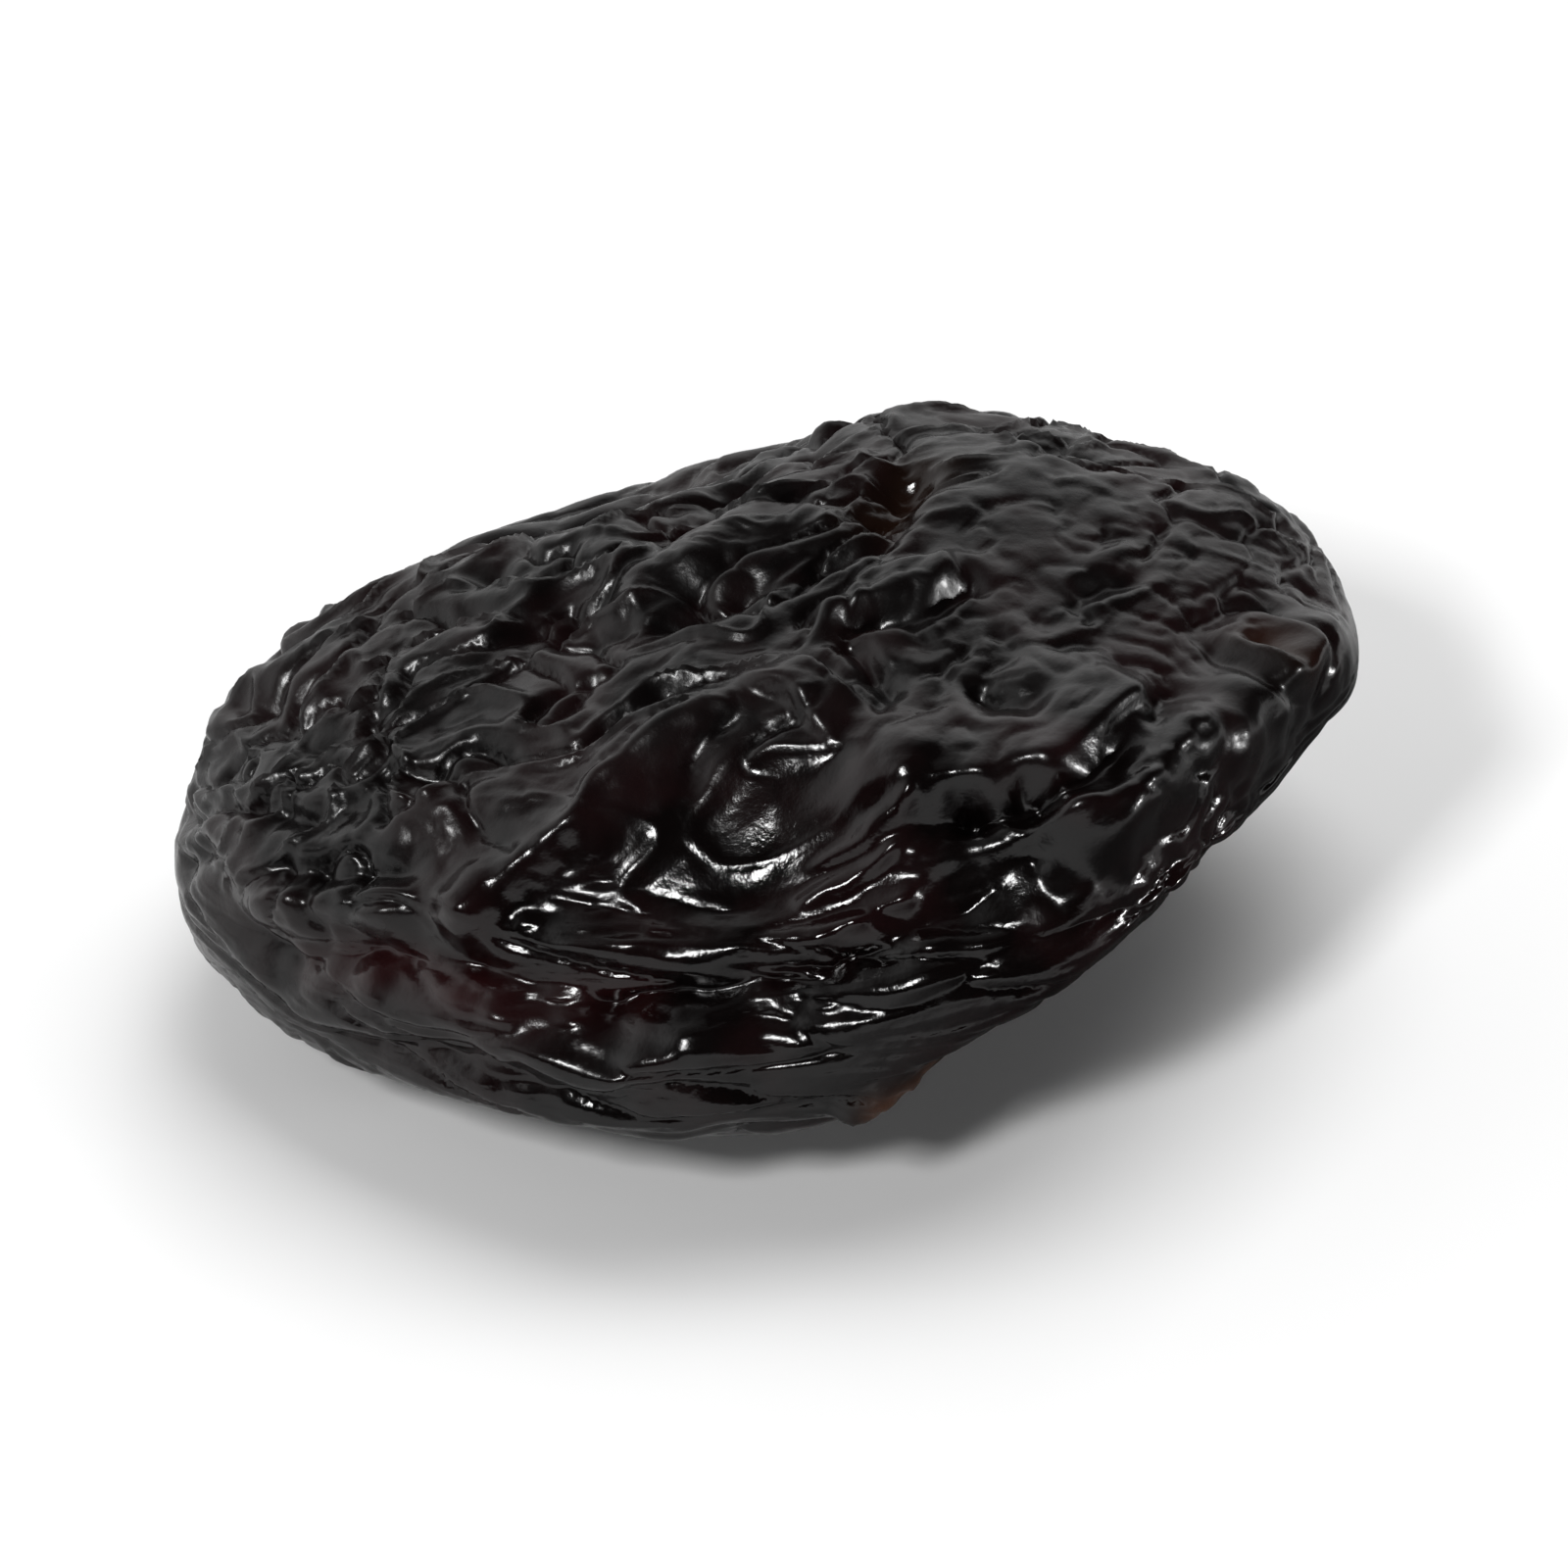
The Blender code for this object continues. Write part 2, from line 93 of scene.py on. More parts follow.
# The underside is cut off obliquely at the front right: the way it rises, in
# degrees, where that starts, rise for each millimetre, and rounding.
LIFTED_TOWARDS = -35
LIFTED_FROM = 5.4
LIFTED_SLOPE = 0.8
LIFTED_ROUND = 1.8

# Folds: half width, height or depth, and places that the fold runs through.
CREASES = {
    "front": (0.7, 1.1, [
        (-18, -3, 1), (-16.5, -6, 1), (-15, -8, 1), (-12.5, -10, 2), (-10, -11.5, 2), (-5, -14.5, 2),
        (-1, -15.5, 2), (5, -15, 3), (8, -14, 3.5),
    ]),
    "lip": (0.4, 0.9, [
        (2.5, -11.5, 6.5), (5.5, -13, 5.5), (9.5, -12.5, 5), (12, -11, 5), (14.5, -8.5, 5), (16, -6.5, 5),
    ]),
    "pocket": (0.5, 1, [
        (5.5, 2.5, 8.5), (3.5, -0.5, 8.5), (0.5, -1.5, 8.5), (-1.5, -2.5, 8), (-3.5, -2, 7.5),
    ]),
    "under_ridge": (0.6, 0.4, [(1, -7.5, 7.5), (-3, -9, 7), (-6.5, -10, 5.5)]),
    "left_of_pocket": (0.5, 0.6, [(-5, -1, 7.5), (-8, 0.5, 7), (-11, 1, 6)]),
    "back_notch": (0.8, 1, [(-4.5, 1, 7.5), (-2.5, 3, 8), (-0.5, 5, 7.5), (0.5, 8, 7)]),
    "high_left": (0.45, 0.5, [(-16.5, 3, 3), (-14, 0.5, 4.5), (-12, -2.5, 5), (-9, -3, 6)]),
    "mid_left": (0.45, 0.6, [(-16, -1.5, 3.5), (-13.5, -5, 4.5), (-10, -6, 5.5), (-6, -7.5, 6.5)]),
    "low_left": (0.45, 0.5, [(-15.5, -5, 3), (-13, -7.5, 3.5), (-10, -9, 4.5)]),
    "tip_upper": (0.4, 0.5, [(-18.5, 1.5, 1), (-18, -0.5, 2), (-16.5, -1.5, 3)]),
    "tip_lower": (0.4, 0.5, [(-19, -1, 0), (-18, -2, 1.5), (-16.5, -3.5, 2.5)]),
    "between_rolls": (0.4, 0.35, [
        (-15.5, -8, -1), (-13, -11, -1), (-10.5, -12.5, -1), (-5.5, -15, -1), (-1, -16, -0.5),
    ]),
    "high_front": (0.35, 0.7, [(2.5, -5, 8), (4, -4.5, 8.5), (6, -4.5, 8.5), (8, -3, 8.5), (9.5, -4, 8)]),
    "panel_knob": (0.4, 0.6, [(3, -5, 8), (3.5, -6.5, 8), (4, -8, 7.5)]),
    "panel_slit": (0.25, 0.4, [(5, -4, 8), (6, -6, 8), (6.5, -8, 7.5)]),
    "panel_hook": (0.3, 0.4, [(8, -4.5, 8), (9, -6, 7.5), (9, -7.5, 7.5), (7.5, -8, 7.5)]),
    "panel_pit": (0.45, 0.8, [(7, -7.5, 7.5), (7.5, -8.5, 7), (8.5, -9, 7), (10, -9.5, 6.5)]),
    "panel_right": (0.35, 0.6, [(11.5, -3.5, 7.5), (13, -3, 7.5), (15, -1, 7)]),
    "panel_low": (0.3, 0.4, [(10.5, -7, 7), (12, -6.5, 7), (13, -5.5, 6.5)]),
    "panel_mid": (0.25, 0.3, [(11, -3.5, 7.5), (12, -4.5, 7), (12, -5.5, 7)]),
    "pucker_left": (0.4, 0.7, [(5.5, -12, 6), (6.5, -13, 5.5), (6.5, -13.5, 5)]),
    "pucker_right": (0.4, 0.6, [(8, -12, 5.5), (9, -12.5, 5), (8, -13.5, 5)]),
    "back": (0.8, 1.1, [
        (-17, 4.5, 1.5), (-12, 10.5, 2), (-5, 14, 1), (3, 15, 0.5), (10, 12.5, 1.5), (15, 8.5, 2),
    ]),
    "back_upper": (0.6, 0.8, [(-13, 7.5, 4.5), (-6, 10.5, 5.5), (1, 12, 5.5), (6, 10, 6.5)]),
    "back_low": (0.7, 0.8, [(-12, 9.5, -2.5), (-2, 13.5, -4), (6, 12.5, -4), (12, 8.5, -3)]),
    "right": (0.6, 0.6, [(18.5, 2.5, 1), (16.5, 7, -0.5), (12, 11, -2), (8, 13, -2)]),
    "under_left": (0.7, 0.6, [(-16, 1, -4), (-12.5, 2.5, -6), (-10.5, 6, -6), (-7, 9, -6)]),
    "under_right": (0.7, 0.6, [(15, 4, -4), (12, 1, -6), (8, -3, -6)]),
}
RIDGES = {
    "lip": (1.5, 2, [
        (18.5, 0, 1), (17.5, -4, 2.5), (15.5, -8, 3), (13, -11, 3.5), (10.5, -13, 3.5), (8, -14, 3.5),
    ]),
    "long": (1.1, 1.2, [
        (1.5, -6, 8), (-2.5, -8, 7), (-5, -9, 6), (-6.5, -10, 5.5), (-9.5, -11, 4), (-11, -11.5, 3),
    ]),
    "high": (0.6, 0.8, [(1.5, -5, 8), (3, -3.5, 8.5), (4.5, -3, 8.5), (6, -2.5, 8.5), (8, -2.5, 8.5)]),
    "knob": (1.6, 1, [(0.5, -8, 7.5), (2, -7, 8)]),
    "shelf": (2.2, 1.6, [(2.5, -9.5, 7.5), (5.5, -12, 6.5), (9.5, -12, 6), (12, -10, 6), (14, -7.5, 6)]),
    "upper_roll": (1.2, 0.8, [
        (-16.5, -7, 0.5), (-14, -9.5, 1), (-9, -13, 1), (-4.5, -15, 0.5), (-1, -15.5, 1),
    ]),
    "lower_roll": (0.9, 0.4, [
        (-14, -9, -2.5), (-11, -12, -2.5), (-7.5, -14, -2.5), (-4.5, -15, -2.5), (0, -16, -1.5),
    ]),
    "low_left": (0.9, 0.4, [(-16.5, -5, 2), (-14, -8.5, 3), (-11.5, -10, 3)]),
    "over_crease": (0.45, 0.3, [(-9, -12, 3.5), (-6.5, -13, 3.5), (-4, -14, 3.5)]),
    "left_high": (0.45, 0.35, [(-13, -3, 5), (-9, -5, 6), (-5, -6, 7)]),
    "left_bend": (0.45, 0.35, [(-15, -1.5, 4), (-13.5, -4, 4.5), (-11.5, -5, 5), (-10.5, -7, 5)]),
    "slope_high": (0.35, 0.35, [(0.5, -13.5, 5.5), (3.5, -12.5, 6), (5, -12, 6)]),
    "slope_mid": (0.35, 0.35, [(0, -14, 4.5), (2, -13.5, 5), (4.5, -13, 5.5)]),
    "slope_low": (0.35, 0.35, [(0, -15, 3.5), (2.5, -14.5, 4), (5, -14, 4.5)]),
    "back": (1, 0.45, [(-13, 11, 3.5), (-6, 13, 3.5), (2, 13.5, 3.5), (9, 12, 4)]),
    "nib": (0.55, 0.6, [(1, -16, -2.5), (2.5, -15.5, -3.5), (4, -15, -4)]),
}
DENTS = {
    "front_slope": (3, 1.3, [(-7, -11.5, 4.5), (-3, -13, 4.5), (1, -13.5, 4.5), (5, -13, 4.5)]),
    "left_pocket": (1.4, 1.1, [(-5.5, 0.5, 7.5), (-5, -1, 7.5), (-3.5, -2, 7.5), (-2.5, -1.5, 8)]),
    "back_pocket": (0.95, 1.3, [(4.5, 2, 8.5), (5.5, 3.5, 8.5), (6, 4.5, 8.5)]),
    "front_right": (2, 0.5, [(10, -13, 1), (13, -10.5, 1)]),
    "back_top": (3.2, 0.8, [(0, 9, 7), (4, 9, 7)]),
    "back_left": (2.2, 0.7, [(-9, 8, 6), (-5, 9, 6.5)]),
}

# Mouth: its place, and its rings by radius, half width and height.
MOUTH_PLACE = (18, -4.8, 4.2)
MOUTH_RINGS = [(0.0, 0.6, -0.65), (1.1, 0.45, 0.35), (1.9, 0.4, -0.25)]

# Wrinkles: seed and size of the noise that places them, and height. Pillows and
# lines also have a width before the height, as a share of that noise. Cracks lie
# only where noise of the seed and size of CRACK_PATCHES is well above nought.
SWELL = (20, 8, 0.9)
TOP_WRINKLE = (3, 2.6, 0.45)
TOP_LINE = (24, 2.2, 0.11, 0.3)
RIM_WRINKLE = (9, 3.2, 0.2)
RIM_PILLOW = (17, 2.8, 0.1, 0.3)
PANEL_CRACK = (22, 2.4, 0.1, -0.25)
CRACK_PATCHES = (23, 4)
CRACK_FROM = (0, 0.25)

# Finer ones that only the looks have: seed, size, width and height. Those of
# BUMP_FINE lie round BUMP_PLACE, on the slope below the lip.
TOP_FINE = [(15, 1.9, 0.07, 0.6), (16, 0.9, 0.12, 0.1), (13, 0.5, 0.2, 0.04)]
RIM_FINE = [(18, 1.1, 0.14, 0.08), (19, 0.6, 0.2, 0.03)]
PANEL_FINE = [(25, 1.7, 0.12, 0.12), (26, 0.5, 0.2, 0.02)]
BUMP_FINE = (27, 0.9, 0.25, 0.45)
BUMP_PLACE = (12.8, -11, 1.5)
BUMP_REACH = 2.6

# Wrinkles on top run along the fruit, turned by this many degrees, and are
# WRINKLE_STRETCH times as long as wide. Those on the rim run round the fruit,
# at about RIM_RADIUS from its middle, and are drawn out by RIM_STRETCH.
WRINKLE_TURN = 15
WRINKLE_STRETCH = 2
RIM_RADIUS = 17
RIM_STRETCH = 3

# Shoulder beside each crease: its height as a share of the depth, and its place
# and half width as shares of the crease's. Folds fade out at both ends, over
# these shares of their length.
SHOULDER = (0.3, 2.4, 1.2)
CREASE_ENDS = (0, 0.25)
RIDGE_ENDS = (-0.05, 0.2)

# Bends in folds and wrinkles: size, how far they push, and seed.
FOLD_BENDS = [(3.5, 0.6, 1), (1.3, 0.3, 4)]
MOUTH_BENDS = [(1.8, 0.8, 5)]
TOP_BENDS = [(5, 1.4, 2), (1.2, 0.6, 6)]
RIM_BENDS = [(5, 1.8, 8)]
CRACK_BENDS = [(2.5, 0.9, 21)]

# Noise: its own seed, and how far the noise of one seed lies from the next.
NOISE_SEED = 7
SEED_STEP = np.array([31.7, 11.3, 47.9])

# Heights between which the rim turns into the top, how much lower it does so at
# the left end, depths between which it turns into the underside, and share of
# the wrinkles left on the underside, on the smooth panel of the right half, on
# the front slope, and along the lip and the long ridge. BACK_SHARE is how much less
# smooth the panel is towards the back.
TOP_HEIGHT = (2.5, 5.5)
TIP_LIFT = 3
TIP_REACH = (8, 15)
UNDER_DEPTH = (2.5, 5.5)
UNDER_SHARE = 0.45
PANEL_SHARE = 0.12
BACK_SHARE = 0.6
SLOPE_SHARE = 0.15
LIP_SHARE = 0.3

# Where these lie, in millimetres: the panel to the right of a slanting line, at
# x - y / 2, and behind another, at x + y, rougher from PANEL_BACK in y on, and
# with PANEL_LEVEL of the swell left out. The slope lies in front of SLOPE_FRONT,
# round SLOPE_MIDDLE in x. Lip and long ridge are calm for this far round them.
PANEL_LEFT = (1, 7)
PANEL_FRONT = (-9, -5)
PANEL_BACK = (-1, 5)
PANEL_LEVEL = 0.7
SLOPE_FRONT = (8, 11)
SLOPE_MIDDLE = 1
SLOPE_REACH = 9
LIP_REACH = 2.2
LONG_REACH = 1.3

# Flat spot: how much of the underside is cut off, and how far round its middle
# the wrinkles are left out.
REST_CUT = 0.4
REST_CALM = 7

# Sphere that the skin is worked out on: cuts in each edge of its twenty faces,
# and how much it is drawn out upwards, so that the broad top gets more of them.
SKIN_CUTS = 98
SPHERE_STRETCH = 1.3

# Skin: its colours, with the noise that mixes the first two, by scale, detail and
# roughness, and the range of that noise over which they change.
BLACK = (0.0018, 0.0011, 0.0011, 1)
PLUM = (0.006, 0.0022, 0.0024, 1)
MAROON = (0.02, 0.004, 0.0045, 1)
BROWN = (0.05, 0.02, 0.01, 1)
PLUM_CLOUDS = (260, 3, 0.5)
PLUM_RANGE = (0.45, 0.65)

# Tints: how far they reach round their places, in millimetres, and how strong the
# brown is. The maroon varies round MAROON_MIDDLE with noise of this seed, size
# and height.
MAROON_REACH = 0.8
MAROON_MIDDLE = 0.6
MAROON_CLOUDS = (31, 2.5, 0.8)
MOUTH_REACH = 0.9
MOUTH_BROWN = 0.3
POCKET_REACH = 1.2
POCKET_BROWN = 0.15
NIB_REACH = 0.6

# Gloss: lowest and highest roughness, with the noise between them, how much duller
# the top is, and which share of that the front roll has. Over it lie a thin coat
# and a fine grain.
GLOSS = (0.09, 0.18)
GLOSS_CLOUDS = (500, 3, 0.5)
GLOSS_RANGE = (0.35, 0.65)
DULLER = 0.17
ROLL_DULL = 0.4
ROLL_REACH = 2.2
SKIN_IOR = 1.45
COAT = 0.1
COAT_ROUGHNESS = 0.1
GRAIN = (3200, 4, 0.6)
GRAIN_HEIGHT = 0.018 * MM

# Backdrop: how bright it and the room are, the way it lies, and the range over
# which it fades at its sides (cosine of the turn) and top (sine of the height).
BACKDROP = 0.78
ROOM = 0.012
BACKDROP_TOWARDS = (-0.6, 0.8, 0)
BACKDROP_SIDES = (0, 0.55)
BACKDROP_TOP = (1.1, 0.45)

# Table: half its side, how light it is, and how light the gloss sees it, painted
# darker: in painted shade at the right, and beyond that shade, which fades out over its reach.
TABLE_HALF = 3
TABLE = 0.88
TABLE_ROUGHNESS = 0.9
TABLE_PAINTED_REFLECTION = (0.06, 0.55)
PAINTED_SHADE_PLACE = (34 * MM, -14 * MM, 0)
PAINTED_SHADE_REACH = (22 * MM, 42 * MM)

# Lamps: degrees to the right of the camera and up, distance, side and radiance.
KEY_LAMP = (-28, 44, 1.0, 0.17, 60.0)
RIGHT_LAMP = (70, 7, 1.0, 0.1, 120.0)
TOP_LAMP = (130, 70, 1.5, 1.2, 3.6)

# Camera: degrees that it looks down from and that its head is tipped, distance,
# lens, and how far it is moved across and upward in its own picture.
CAMERA_ELEVATION = 35
CAMERA_ROLL = 5
CAMERA_DISTANCE = 0.45
CAMERA_LENS = 318.9
CAMERA_SENSOR = 36
CAMERA_ACROSS = 0.57 * MM
CAMERA_UPWARD = -0.76 * MM


def unit_sphere(cuts):
    """Directions of the corners of an even sphere, and its triangles."""
    bm = bmesh.new()
    bmesh.ops.create_icosphere(bm, subdivisions=1, radius=1.0)
    bmesh.ops.subdivide_edges(bm, edges=bm.edges, cuts=cuts, use_grid_fill=True)
    bmesh.ops.triangulate(bm, faces=bm.faces)
    bm.verts.index_update()
    directions = np.array([v.co for v in bm.verts])
    triangles = np.array([[v.index for v in f.verts] for f in bm.faces])
    bm.free()
    directions[:, 2] *= SPHERE_STRETCH
    return unit(directions), triangles


def unit(vectors):
    return vectors / np.linalg.norm(vectors, axis=1)[:, None]


def smooth_step(x, low, high):
    t = np.clip((x - low) / (high - low), 0, 1)
    return t * t * (3 - 2 * t)


def bump(distance, width):
    return np.exp(-((distance / width) ** 2))


def smooth_fruit(q):
    """Skin of the fruit without folds, in millimetres, for unit directions q."""
    size = np.abs(q)
    plan = (size[:, 0] ** PLAN_POWER + size[:, 1] ** PLAN_POWER) ** (1 / PLAN_POWER)
    reach = (plan ** SIDE_POWER + size[:, 2] ** SIDE_POWER) ** (-1 / SIDE_POWER)
    turn = np.arctan2(q[:, 1], q[:, 0])
    grow = 1 + sum(share * np.cos(count * (turn - np.radians(at))) for count, share, at in PLAN_WAVES)
    x = HALF_LENGTH * q[:, 0] * reach * grow
    y = HALF_DEPTH * q[:, 1] * reach * grow
    level = np.where(q[:, 2] < 0, bump(np.hypot(x, y), LEVEL_REACH), 0)
    z = np.where(q[:, 2] > 0, HALF_TOP, HALF_UNDER) * q[:, 2] * reach + RISE * x * (1 - level)
    skin = np.stack([x, y, z], 1)
    outward = unit(skin / np.array([HALF_LENGTH, HALF_DEPTH, HALF_TOP]) ** 2)
    for round_at, up_at, spread, height in LOBES:
        turn, lift = np.radians((round_at, up_at))
        middle = np.array([np.cos(lift) * np.cos(turn), np.cos(lift) * np.sin(turn), np.sin(lift)])
        away = np.degrees(np.arccos(np.clip(q @ middle, -1, 1)))
        skin += outward * (height * bump(away, spread))[:, None]
    turn = math.radians(LIFTED_TOWARDS)
    out = skin[:, 0] * math.cos(turn) + skin[:, 1] * math.sin(turn)
    cut = (out - LIFTED_FROM) * LIFTED_SLOPE - HALF_UNDER
    gap = skin[:, 2] - cut
    skin[:, 2] = cut + (gap + np.sqrt(gap ** 2 + LIFTED_ROUND ** 2)) / 2
    return skin


def on_skin(places):
    return smooth_fruit(unit(np.array(places, float) / (HALF_LENGTH, HALF_DEPTH, HALF_TOP)))


def noise_at(points, size, seed):
    shifted = points / size + SEED_STEP * seed
    return np.array([noise.noise(Vector(v)) for v in shifted])


def bent(points, bends):
    """The points, pushed aside by noise in one way after the other."""
    for size, reach, seed in bends:
        shifted = points / size + SEED_STEP * seed
        points = points + reach * np.array([noise.noise_vector(Vector(v)) for v in shifted])
    return points


def outward_normals(points, triangles):
    a, b, c = (points[triangles[:, k]] for k in range(3))
    across = np.cross(b - a, c - a)
    normals = np.zeros_like(points)
    for k in range(3):
        np.add.at(normals, triangles[:, k], across)
    return unit(normals)


def curve_through(places, steps=5):
    """A smooth curve through the places, as a line of short straight pieces."""
    p = np.array(places, float)
    p = np.vstack([2 * p[0] - p[1], p, 2 * p[-1] - p[-2]])
    t = np.linspace(0, 1, steps, endpoint=False)[:, None]
    line = []
    for a, b, c, d in zip(p, p[1:], p[2:], p[3:]):
        line.append(b + 0.5 * t * (c - a + t * (2 * a - 5 * b + 4 * c - d + t * (3 * (b - c) + d - a))))
    line.append(p[-2:-1])
    return on_skin(np.vstack(line))


def near_curve(points, places):
    """Distance from each point to the curve, and how far along it that is, 0 to 1."""
    line = curve_through(places)
    distance = np.full(len(points), np.inf)
    along = np.zeros(len(points))
    for k, (a, b) in enumerate(zip(line, line[1:])):
        t = np.clip((points - a) @ (b - a) / ((b - a) @ (b - a)), 0, 1)
        d = np.linalg.norm(points - a - t[:, None] * (b - a), axis=1)
        nearer = d < distance
        distance[nearer] = d[nearer]
        along[nearer] = ((k + t) / (len(line) - 1))[nearer]
    return distance, along


def from_mouth(points):
    """How far each point lies from the middle of the mouth, with the mouth's bends."""
    return np.linalg.norm(bent(points, MOUTH_BENDS) - on_skin([MOUTH_PLACE]), axis=1)


def fold_height(points):
    """Height of all the named folds at each point of the smooth skin."""
    p = bent(points, FOLD_BENDS)
    height = np.zeros(len(p))
    for width, depth, places in CREASES.values():
        distance, along = near_curve(p, places)
        taper = smooth_step(np.minimum(along, 1 - along), *CREASE_ENDS)
        shoulder = SHOULDER[0] * bump(distance - SHOULDER[1] * width, SHOULDER[2] * width)
        height += depth * taper * (shoulder - np.exp(-distance / width))
    for width, rise, places in RIDGES.values():
        distance, along = near_curve(p, places)
        height += rise * bump(distance, width) * smooth_step(np.minimum(along, 1 - along), *RIDGE_ENDS)
    for width, depth, places in DENTS.values():
        height -= depth * bump(near_curve(p, places)[0], width)
    away = from_mouth(points)
    for radius, width, rise in MOUTH_RINGS:
        height += rise * bump(away - radius, width)
    return height


def waves(points, seed, size, height):
    return height * noise_at(points, size, seed)


def lines(points, seed, size, width, height):
    """Raised or sunk lines where noise crosses nought."""
    return height * bump(noise_at(points, size, seed), width)


def pillows(points, seed, size, width, height):
    """Rounded pillows between sharp creases, which run where noise crosses nought."""
    return height * (0.5 - np.exp(-np.abs(noise_at(points, size, seed)) / width))


def lengthways(points):
    """The points, turned and squeezed so that noise is drawn out along the fruit."""
    turn = math.radians(WRINKLE_TURN)
    along = points[:, 0] * math.cos(turn) + points[:, 1] * math.sin(turn)
    across = points[:, 1] * math.cos(turn) - points[:, 0] * math.sin(turn)
    return np.stack([along / WRINKLE_STRETCH, across, points[:, 2]], 1)


def round_the_rim(points):
    """The points, moved so that noise is drawn out round the fruit."""
    turn = np.arctan2(points[:, 1], points[:, 0])
    height = RIM_STRETCH * points[:, 2]
    rim = np.stack([RIM_RADIUS * np.cos(turn), RIM_RADIUS * np.sin(turn), height], 1)
    return bent(rim, RIM_BENDS) / (RIM_STRETCH, RIM_STRETCH, 1)


def less_near(points, places, reach):
    """1 far from the curve, and LIP_SHARE on it."""
    return 1 - (1 - LIP_SHARE) * bump(near_curve(points, places)[0], reach)


def top_and_panel(points):
    """Shares: 1 on the top, and 1 on the smooth panel in its right half."""
    x, y, z = points.T
    upper = smooth_step(z + TIP_LIFT * smooth_step(-x, *TIP_REACH), *TOP_HEIGHT)
    panel = upper * smooth_step(x - y / 2, *PANEL_LEFT) * smooth_step(x + y, *PANEL_FRONT)
    return upper, panel


def front_slope(points):
    """1 on the slope below the long ridge."""
    return smooth_step(-points[:, 1], *SLOPE_FRONT) * bump(points[:, 0] - SLOPE_MIDDLE, SLOPE_REACH)


def wrinkle_height(points):
    """Wrinkles along the length on top, and round the fruit along its rim."""
    upper, panel = top_and_panel(points)
    panel = panel * (1 - BACK_SHARE * smooth_step(points[:, 1], *PANEL_BACK))
    below = smooth_step(-points[:, 2], *UNDER_DEPTH)
    calm = less_near(points, RIDGES["lip"][2], LIP_REACH) * less_near(points, RIDGES["long"][2], LONG_REACH)
    slope = front_slope(points)
    top = upper * calm * (1 - (1 - SLOPE_SHARE) * slope) * (1 - (1 - PANEL_SHARE) * panel)
    top += UNDER_SHARE * below
    rim = (1 - upper - below) * calm
    along = bent(lengthways(bent(points, TOP_BENDS[:1])), TOP_BENDS[1:])
    around = round_the_rim(points)
    height = waves(points, *SWELL) * (1 - PANEL_LEVEL * panel)
    height += top * (waves(along, *TOP_WRINKLE) + lines(along, *TOP_LINE))
    height += rim * (waves(around, *RIM_WRINKLE) + pillows(around, *RIM_PILLOW))
    broken = smooth_step(waves(points, *CRACK_PATCHES, 1), *CRACK_FROM)
    cracked = bent(points, CRACK_BENDS)
    height += panel * broken * lines(cracked, *PANEL_CRACK)
    for finer in TOP_FINE:
        height += top * (1 - slope) * pillows(along, *finer)
    for finer in RIM_FINE:
        height += rim * pillows(around, *finer)
    for finer in PANEL_FINE:
        height += panel * pillows(cracked, *finer)
    away = np.linalg.norm(points - on_skin([BUMP_PLACE]), axis=1)
    height += bump(away, BUMP_REACH) * pillows(points, *BUMP_FINE)
    return height


def folded(smooth, triangles):
    """Corners of the folded skin, in millimetres, from those of the smooth fruit."""
    noise.seed_set(NOISE_SEED)
    under = np.where(smooth[:, 2] < 0, bump(np.hypot(smooth[:, 0], smooth[:, 1]), REST_CALM), 0)
    height = fold_height(smooth) + wrinkle_height(smooth) * (1 - under)
    skin = smooth + outward_normals(smooth, triangles) * height[:, None]
    floor = skin[:, 2].min() + REST_CUT
    skin[:, 2] = np.maximum(skin[:, 2], floor)
    middle = (skin.min(axis=0) + skin.max(axis=0)) / 2
    return skin - (middle[0], middle[1], floor)


def mesh_piece(name, corners, triangles):
    mesh = bpy.data.meshes.new(name)
    mesh.from_pydata((corners * MM).tolist(), [], triangles.tolist())
    mesh.shade_smooth()
    piece = bpy.data.objects.new(name, mesh)
    bpy.context.scene.collection.objects.link(piece)
    return piece


def shares(corners, places, width):
    """1 on the curve through the places, falling to 0 away from it."""
    return bump(near_curve(corners, places)[0], width)


def add_share(piece, name, values):
    """Keeps one number from 0 to 1 at each corner, for the material."""
    layer = piece.data.attributes.new(name, "FLOAT", "POINT")
    layer.data.foreach_set("value", np.clip(values, 0, 1).astype(np.float32))


def tint(piece, smooth):
    """Where the skin is maroon, where it is brown and where it is duller."""
    uneven = MAROON_MIDDLE + waves(smooth, *MAROON_CLOUDS)
    add_share(piece, "maroon", uneven * shares(smooth, CREASES["front"][2][2:6], MAROON_REACH))
    mouth = MOUTH_BROWN * bump(from_mouth(smooth), MOUTH_REACH)
    pocket = shares(smooth, DENTS["back_pocket"][2], POCKET_REACH)
    nib = shares(smooth, RIDGES["nib"][2][1:], NIB_REACH)
    add_share(piece, "brown", mouth + POCKET_BROWN * pocket + nib)
    top = top_and_panel(smooth)[0] * (1 - front_slope(smooth)) * (1 - pocket)
    add_share(piece, "dull", top + ROLL_DULL * shares(smooth, RIDGES["upper_roll"][2], ROLL_REACH))


def fill(tree, node, inputs):
    """Sets each input of the node, or links it where its value is an output."""
    for name, value in inputs.items():
        if isinstance(value, bpy.types.NodeSocket):
            tree.links.new(value, node.inputs[name])
        else:
            node.inputs[name].default_value = value


def add_node(tree, kind, inputs, **settings):
    """A new node with these settings and inputs."""
    node = tree.nodes.new(kind)
    for name, setting in settings.items():
        setattr(node, name, setting)
    fill(tree, node, inputs)
    return node


def ranged(tree, value, start, end, first, last, blend="LINEAR"):
    """A number that goes from first to last as the value goes from start to end."""
    inputs = {"Value": value, "From Min": start, "From Max": end, "To Min": first, "To Max": last}
    return add_node(tree, "ShaderNodeMapRange", inputs, interpolation_type=blend).outputs["Result"]


